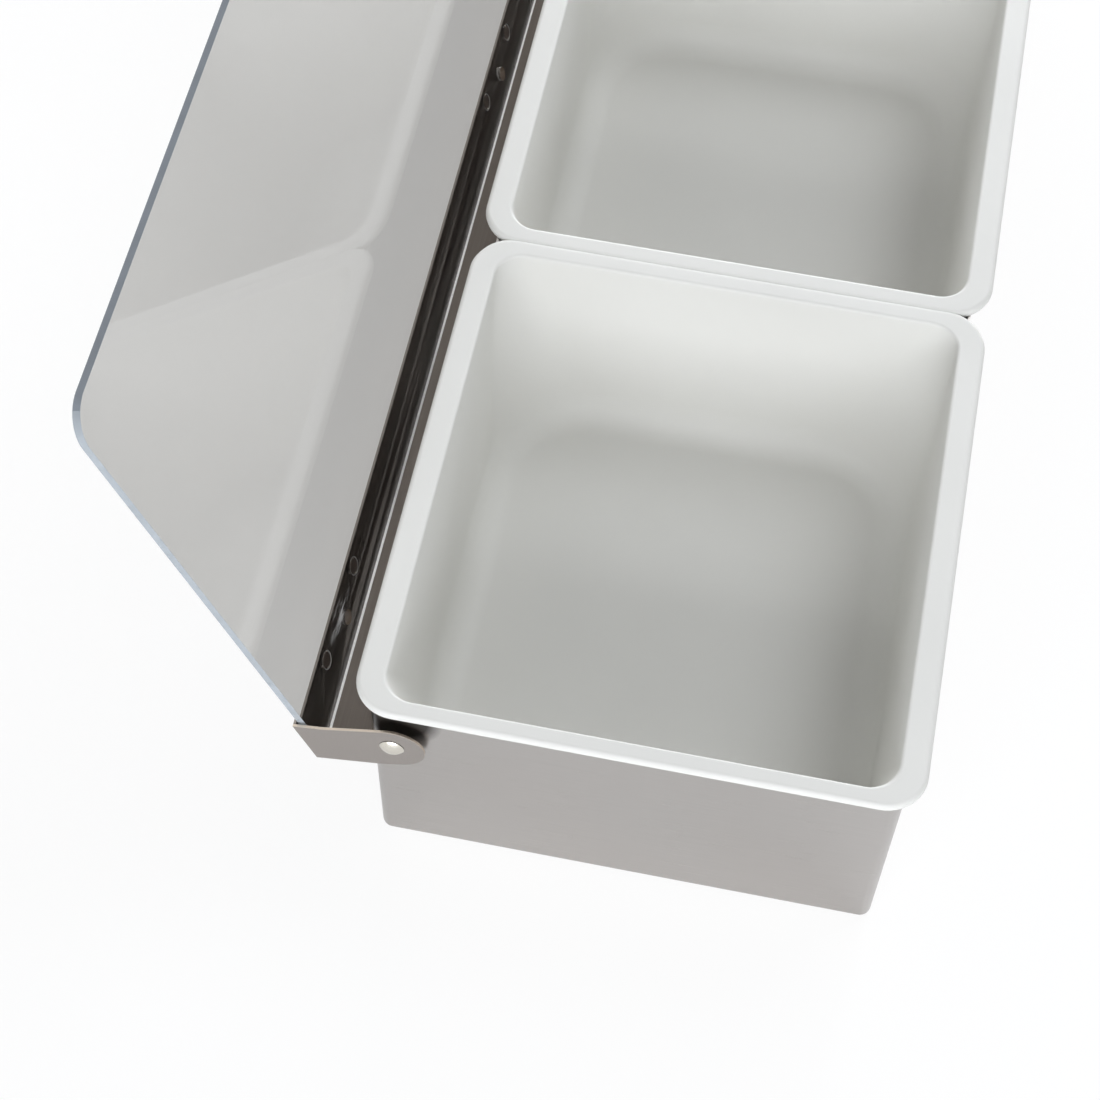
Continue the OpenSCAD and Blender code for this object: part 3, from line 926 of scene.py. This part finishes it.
class CADDY_OT_bracket(bpy.types.Operator):
    """Fold the lid's bracket: web, sloping flange and two ears"""

    bl_idname = "caddy.bracket"
    bl_label = "Bracket"

    def section(self, sizes, reach):
        """Web with its holes, bent into the flange, as a thin strip from ear to ear."""
        z = sizes.sheet_rise + sizes.sheet_thickness
        angle = sizes.flange_angle
        start = sizes.web_rear - sizes.bend * math.tan(angle / 2)
        notch, step = reach - sizes.flange_notch, start - sizes.steel
        rivets, locating = rivet_places()
        holes = [(x, y, sizes.sheet_shank) for x, y in rivets]
        holes += [(x, y, sizes.locating_hole) for x, y in locating]
        right = [(reach, -sizes.web_front), (reach, step), (notch, step), (notch, start)]
        outline = right + [(-x, y) for x, y in reversed(right)]
        bm = plate_with_holes(outline, holes, z)
        rear = [e for e in bm.edges if all(abs(v.co.y - start) < SAME for v in e.verts)]
        bent = bmesh.ops.spin(
            bm, geom=rear + list(dict.fromkeys(v for e in rear for v in e.verts)),
            cent=(0, start, z - sizes.bend), axis=(1, 0, 0), angle=-angle, steps=9,
            use_merge=False, use_duplicate=False,
        )["geom_last"]
        run = sizes.flange - sizes.bend * math.tan(angle / 2)
        made = bmesh.ops.extrude_edge_only(bm, edges=made_edges(bent))["geom"]
        down = Vector((0, math.cos(angle), -math.sin(angle)))
        bmesh.ops.translate(bm, verts=made_verts(made), vec=down * run)
        bmesh.ops.recalc_face_normals(bm, faces=bm.faces[:])
        if sum(f.normal.z * f.calc_area() for f in bm.faces) < 0:
            bmesh.ops.reverse_faces(bm, faces=bm.faces[:])
        return bm

    def ear(self, bm, sizes, side, reach):
        """One ear: a round end about the pivot, and sides that slope up to the web."""
        top = sizes.sheet_rise + sizes.sheet_thickness + sizes.steel
        shift, radius = sizes.ear_shift, sizes.ear_radius
        x = side * reach
        first = bm.verts.new((x, shift + radius, 0))
        arc = bmesh.ops.spin(
            bm, geom=[first], cent=(x, shift, 0), axis=(1, 0, 0), angle=-math.pi,
            steps=28, use_merge=False, use_duplicate=False,
        )["geom_last"]
        # Up the front, back along the web and down behind to where the arc began
        chin, heel = 0.68 * top, 0.24 * top
        corners = [
            (1.4 * MM - sizes.web_front, chin), (-sizes.web_front, top),
            (sizes.web_rear - 0.4 * MM, top), (shift + radius, heel),
        ]
        chain = made_verts(arc) + [bm.verts.new((x, y, z)) for y, z in corners] + [first]
        for a, b in zip(chain, chain[1:]):
            bm.edges.new((a, b))
        outline = [e for e in bm.edges if e.is_wire]
        face = bmesh.ops.contextual_create(bm, geom=outline)["faces"]
        made = bmesh.ops.extrude_face_region(bm, geom=face)["geom"]
        bmesh.ops.translate(bm, verts=made_verts(made), vec=(side * sizes.steel, 0, 0))

    def execute(self, context):
        sizes, colours = context.scene.caddy_sizes, context.scene.caddy_colours
        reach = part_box("lid_bracket")[1].x - sizes.steel
        bm = self.section(sizes, reach)
        bmesh.ops.solidify(bm, geom=bm.faces[:], thickness=-sizes.steel)
        for side in (-1, 1):
            self.ear(bm, sizes, side, reach)
        bmesh.ops.recalc_face_normals(bm, faces=bm.faces[:])
        soften(bm, BRACKET_DEBURR, 60)
        # The ears are buffed, and their sheared edges paler: partly the cut steel's own tone,
        # partly a painted highlight where the thin edges catch the light
        for face in bm.faces:
            if abs(face.calc_center_median().x) > reach:
                face.material_index = 1 if abs(face.normal.x) < 0.8 else 2
        bm.transform(lid_open())
        steel = brushed_stainless(
            "rolled_stainless_bracket", colours.bracket[:], (25.0, 2500.0, 2500.0), 0.13, 0.2
        )
        # Partly painted highlight: the sheared edges are paler than the cut steel's own tone alone
        cut = brushed_stainless(
            "sheared_stainless_edge_and_highlight", hex_colour("#DDD2C4"), (900.0, 900.0, 900.0), 0.3, 0.1
        )
        ear = brushed_stainless(
            "buffed_stainless_ear", colours.ear[:], (900.0, 2500.0, 200.0), 0.16, 0.05
        )
        finish_piece(
            "bracket_folded", bm, [steel, cut, ear], "lid", ["lid_bracket"]
        )
        return {"FINISHED"}


# The clear sheet's finishes, in the order of its material slots
CLEAR, FRONT, SAWN, DRILLED, TURNED, END = range(6)


class CADDY_OT_sheet(bpy.types.Operator):
    """Cut and polish the clear lid sheet"""

    bl_idname = "caddy.sheet"
    bl_label = "Clear sheet"

    def outline(self, sizes, half):
        """The sheet seen from above: square behind, with round corners in front."""
        corner = sizes.sheet_corner
        points = [(half, sizes.sheet_rear), (-half, sizes.sheet_rear)]
        for side, start in ((-1, 180), (1, 270)):
            x, y = side * (half - corner), corner - sizes.sheet_reach
            points += [
                (x + corner * math.cos(a), y + corner * math.sin(a))
                for a in arc_steps(start, start + 90, 12)
            ]
        return points

    def countersink(self, bm, sizes, place, sink):
        """Cuts a ring round one rivet hole, and narrows all behind it to the shank's size."""
        wall = [
            f for f in bm.faces
            if abs(f.normal.z) < 0.1 and near_any(f.calc_center_median(), [place], sink + 0.1 * MM)
        ]
        rim = dict.fromkeys(part for f in wall for part in (*f.edges, *f.verts))
        bmesh.ops.bisect_plane(
            bm, geom=wall + list(rim), plane_no=(0, 0, 1),
            plane_co=(0, 0, sizes.sheet_rise + sizes.countersink - sizes.sheet_shank),
        )
        ring = sizes.sheet_rise + 0.5 * MM
        behind = [v for v in bm.verts if v.co.z > ring and near_any(v.co, [place], sink * 1.05)]
        narrow = (sizes.sheet_shank + SHANK_ROOM) / sink
        bmesh.ops.scale(
            bm, verts=behind, vec=(narrow, narrow, 1),
            space=Matrix.Translation((-place[0], -place[1], 0)),
        )

    def chamfer(self, bm, sizes, rivets, sink):
        """Cuts a narrow chamfer round the front of each countersink."""
        def on_ring(edge, place):
            return all(abs((v.co.xy - Vector(place)).length - sink) < 10 * SAME for v in edge.verts)

        front = [e for e in bm.edges if all(v.co.z < sizes.sheet_rise + SAME for v in e.verts)]
        rings = [e for e in front if any(on_ring(e, place) for place in rivets)]
        bmesh.ops.bevel(
            bm, geom=rings, affect="EDGES", offset=SINK_CHAMFER, offset_type="OFFSET",
            segments=1, profile=0.5, material=-1,
        )

    def finish_faces(self, bm, sizes, rivets, locating):
        """Gives each cut face its finish, while the broad faces and the countersinks stay clear."""
        round_hole = 3 * MM
        for face in bm.faces:
            middle = face.calc_center_median()
            if abs(face.normal.z) > 0.95:
                continue
            if near_any(middle, rivets, round_hole):
                # The chamfer in front is cut matt, and shows as a pale ring about the head
                front = middle.z < sizes.sheet_rise + 0.3 * MM and face.normal.z < -0.75
                face.material_index = TURNED if front else CLEAR
            elif near_any(middle, locating, round_hole):
                face.material_index = DRILLED
            elif middle.y > sizes.sheet_rear - 0.1 * MM:
                face.material_index = SAWN
            else:
                # The long front edge is painted darker than the ends, which face the light:
                # painted shade and painted light on one polished finish
                face.material_index = END if abs(face.normal.x) > 0.55 else FRONT

    def execute(self, context):
        sizes, colours = context.scene.caddy_sizes, context.scene.caddy_colours
        rivets, locating = rivet_places()
        sink = sizes.countersink + HEAD_ROOM
        holes = [(x, y, sink) for x, y in rivets]
        holes += [(x, y, sizes.locating_hole) for x, y in locating]
        outline = self.outline(sizes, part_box("lid_sheet")[1].x)
        bm = plate_with_holes(outline, holes, sizes.sheet_rise)
        made = bmesh.ops.extrude_face_region(bm, geom=bm.faces[:], use_keep_orig=True)["geom"]
        bmesh.ops.translate(bm, verts=made_verts(made), vec=(0, 0, sizes.sheet_thickness))
        for place in rivets:
            self.countersink(bm, sizes, place, sink)
        bmesh.ops.recalc_face_normals(bm, faces=bm.faces[:])
        self.chamfer(bm, sizes, rivets, sink)
        soften(bm, SHEET_EASING, 50)
        self.finish_faces(bm, sizes, rivets, locating)
        bm.transform(lid_open())
        # The scuffed spot lies just in front of the near end's locating hole
        scuffed = lid_open() @ Vector((locating[0][0] - 2 * MM, -7.4 * MM, sizes.sheet_rise))
        cuts = (
            # The front edge and the ends are one finish; their colours differ as painted shade and
            # light
            ("flame_polished_acrylic_edge", colours.sheet_edge[:], 160.0, 0.12, 0.35, 0.0),
            # Sawn: its 0.75 is an emission, painted light for light carried along the sheet to its
            # edge
            ("sawn_acrylic_edge", hex_colour("#FBFCFC"), 1200.0, 0.7, 0.5, 0.75),
            # Drilled: the dark brown is painted shade that darkens the locating holes
            ("drilled_acrylic_wall", hex_colour("#3A2C20"), 800.0, 0.3, 0.4, 0.0),
            ("turned_acrylic_chamfer", hex_colour("#96948F"), 1200.0, 0.6, 0.3, 0.0),
            ("flame_polished_acrylic_end", colours.sheet_side[:], 160.0, 0.2, 0.4, 0.0),
        )
        finishes = [clear_acrylic(colours.sheet[:], scuffed)] + [acrylic_edge(*cut) for cut in cuts]
        finish_piece("sheet_polished", bm, finishes, "lid", ["lid_sheet"])
        return {"FINISHED"}


class CADDY_OT_rivets(bpy.types.Operator):
    """Turn the sheet rivets and the pivot rivets, and finish the washers"""

    bl_idname = "caddy.rivets"
    bl_label = "Rivets and washers"

    def sheet_profile(self, sizes):
        """A sheet rivet: flush dished head, countersink, shank, and a low dome on the web."""
        face = sizes.sheet_rise
        web = face + sizes.sheet_thickness + sizes.steel
        head, shank = sizes.countersink, sizes.sheet_shank - SHANK_ROOM
        lip, dish = head - 0.3 * MM, 0.12 * MM
        flush = [
            (0, face + dish), (lip - 0.1 * MM, face + dish), (lip, face + 0.02 * MM),
            (lip + 0.15 * MM, face), (head, face + 0.1 * MM),
        ]
        body = [(shank, face + head - shank), (shank, web)]
        return flush + body + dome_profile(sizes.sheet_dome, sizes.sheet_dome_height, web)

    def pivot_profile(self, sizes, inner, outer):
        """A pivot rivet: flat tail inside the wall, shank, and a dome outside the ear."""
        tail, shank, seat = sizes.pivot_tail, sizes.pivot_shank, outer - sizes.pivot_dome
        back, ease = inner + sizes.pivot_tail_height, 0.15 * MM
        body = [
            (0, inner), (tail - ease, inner), (tail, inner + ease), (tail, back),
            (shank, back), (shank, seat),
        ]
        return body + dome_profile(sizes.pivot_head, sizes.pivot_dome, seat)

    def execute(self, context):
        sizes, colours = context.scene.caddy_sizes, context.scene.caddy_colours
        steel = tumbled_steel(colours.rivet[:])
        faced = brushed_stainless(
            "faced_rivet_steel", colours.bracket[:], (900.0, 900.0, 900.0), 0.12, 0.1
        )
        for number, (x, y) in enumerate(rivet_places()[0], 1):
            node = f"sheet_rivet_{number}"
            bm = spun(self.sheet_profile(sizes), "Z")
            bmesh.ops.translate(bm, verts=bm.verts, vec=(x, y, 0))
            bm.transform(lid_open())
            finish_piece(f"{node}_turned", bm, [faced], "lid", [node])
        for node, side in (("pivot_rivet_left", -1), ("pivot_rivet_right", 1)):
            inner, outer = sorted(abs(corner.x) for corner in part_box(node))
            profile = self.pivot_profile(sizes, inner, outer)
            bm = spun([(radius, side * along) for radius, along in profile], "X")
            bmesh.ops.translate(bm, verts=bm.verts, vec=(0, HINGE.y, HINGE.z))
            finish_piece(f"{node}_turned", bm, [steel], "caddy", [node])
        nylon = natural_nylon(colours.washer[:])
        for name in ("left", "right"):
            for place in frame["nodes"][f"pivot_washer_{name}"].material_slots:
                place.material = nylon
        return {"FINISHED"}


class CADDY_OT_stage(bpy.types.Operator):
    """Set the floor, the soft lights, the world and the camera"""

    bl_idname = "caddy.stage"
    bl_label = "Studio"

    def floor(self, colour):
        """A wide sheet of white paper under the caddy."""
        bm = bmesh.new()
        bmesh.ops.create_grid(bm, x_segments=2, y_segments=2, size=FLOOR_HALF)
        mesh = bpy.data.meshes.new("floor")
        bm.to_mesh(mesh)
        bm.free()
        mesh.materials.append(studio_paper(colour))
        floor = bpy.data.objects.new("floor", mesh)
        bpy.context.scene.collection.objects.link(floor)

    def lamp(self, name, azimuth, elevation, watts):
        """A square soft light, turned to the caddy from this direction in degrees."""
        light = bpy.data.lights.new(name, "AREA")
        light.shape, light.size, light.energy = "SQUARE", LAMP_SIDE, watts
        light.color = hex_colour(STUDIO_WHITE)[:3]
        around, up = math.radians(azimuth), math.radians(elevation)
        level = math.cos(up)
        away = Vector((math.cos(around) * level, math.sin(around) * level, math.sin(up)))
        lamp = bpy.data.objects.new(name, light)
        lamp.location = LIT_POINT + LAMP_DISTANCE * away
        lamp.rotation_euler = (-away).to_track_quat("-Z", "Y").to_euler()
        bpy.context.scene.collection.objects.link(lamp)

    def sky(self):
        """A faint even light, shown as plain white to the camera, to metal and through glass."""
        world = bpy.data.worlds.new("studio_world")
        bpy.context.scene.world = world
        world.use_nodes = True
        tree = world.node_tree
        tree.nodes.clear()
        ray = add_node(tree, "ShaderNodeLightPath")
        seen = add_node(
            tree, "ShaderNodeMath",
            {0: ray.outputs["Is Camera Ray"], 1: ray.outputs["Is Glossy Ray"]}, operation="ADD",
        )
        shown = add_node(
            tree, "ShaderNodeMath",
            {0: seen.outputs[0], 1: ray.outputs["Is Transmission Ray"]},
            operation="ADD", use_clamp=True,
        )
        soft = add_node(
            tree, "ShaderNodeBackground",
            {"Color": hex_colour(STUDIO_WHITE), "Strength": SKY_STRENGTH},
        )
        white = add_node(
            tree, "ShaderNodeBackground", {"Color": hex_colour("#FFFFFF"), "Strength": 1.0}
        )
        mixed = add_node(
            tree, "ShaderNodeMixShader",
            {0: shown.outputs[0], 1: soft.outputs[0], 2: white.outputs[0]},
        )
        add_node(tree, "ShaderNodeOutputWorld", {"Surface": mixed.outputs[0]})

    def camera(self):
        """A camera above the left end, looking along the caddy and down."""
        data = bpy.data.cameras.new("camera")
        data.lens, data.sensor_width = LENS, SENSOR
        camera = bpy.data.objects.new("camera", data)
        back = CAMERA_RIGHT.cross(CAMERA_UP)
        turn = Matrix((CAMERA_RIGHT, CAMERA_UP, back)).transposed().to_4x4()
        camera.matrix_world = Matrix.Translation(CAMERA_PLACE) @ turn
        bpy.context.scene.collection.objects.link(camera)
        bpy.context.scene.camera = camera

    def execute(self, context):
        self.floor(context.scene.caddy_colours.floor[:])
        # Two low keys side by side in front of the camera's end, a low back light that skims
        # the rims, and a weak high one at the side
        self.lamp("key_left", 165, 22, 10.6)
        self.lamp("key_right", 195, 22, 14.2)
        self.lamp("back_low", 0, 12, 33.0)
        self.lamp("side_high", 320, 58, 8.8)
        self.sky()
        self.camera()
        context.scene.view_settings.view_transform = "Standard"
        return {"FINISHED"}


class CADDY_PT_sidebar(bpy.types.Panel):
    """Sidebar panel that lists the steps"""

    bl_idname = "CADDY_PT_sidebar"
    bl_label = "Condiment Caddy"
    bl_space_type = "VIEW_3D"
    bl_region_type = "UI"
    bl_category = "Caddy"

    def draw(self, context):
        for step in STEPS:
            self.layout.operator(step.bl_idname)
        for group in (context.scene.caddy_sizes, context.scene.caddy_colours):
            box = self.layout.box()
            for name in group.__annotations__:
                box.prop(group, name)


STEPS = (
    CADDY_OT_tray, CADDY_OT_tubs, CADDY_OT_bracket, CADDY_OT_sheet, CADDY_OT_rivets,
    CADDY_OT_stage,
)
CLASSES = (CaddySizes, CaddyColours, *STEPS, CADDY_PT_sidebar)


def register():
    """Adds the property groups, the steps and the panel to Blender."""
    for cls in CLASSES:
        bpy.utils.register_class(cls)
    bpy.types.Scene.caddy_sizes = PointerProperty(type=CaddySizes)
    bpy.types.Scene.caddy_colours = PointerProperty(type=CaddyColours)


def unregister():
    """Takes them all out again."""
    del bpy.types.Scene.caddy_colours
    del bpy.types.Scene.caddy_sizes
    for cls in reversed(CLASSES):
        bpy.utils.unregister_class(cls)


def main():
    """Runs the steps in order."""
    register()
    bpy.ops.caddy.tray()
    bpy.ops.caddy.tubs()
    bpy.ops.caddy.bracket()
    bpy.ops.caddy.sheet()
    bpy.ops.caddy.rivets()
    bpy.ops.caddy.stage()


if __name__ == "__main__":
    main()
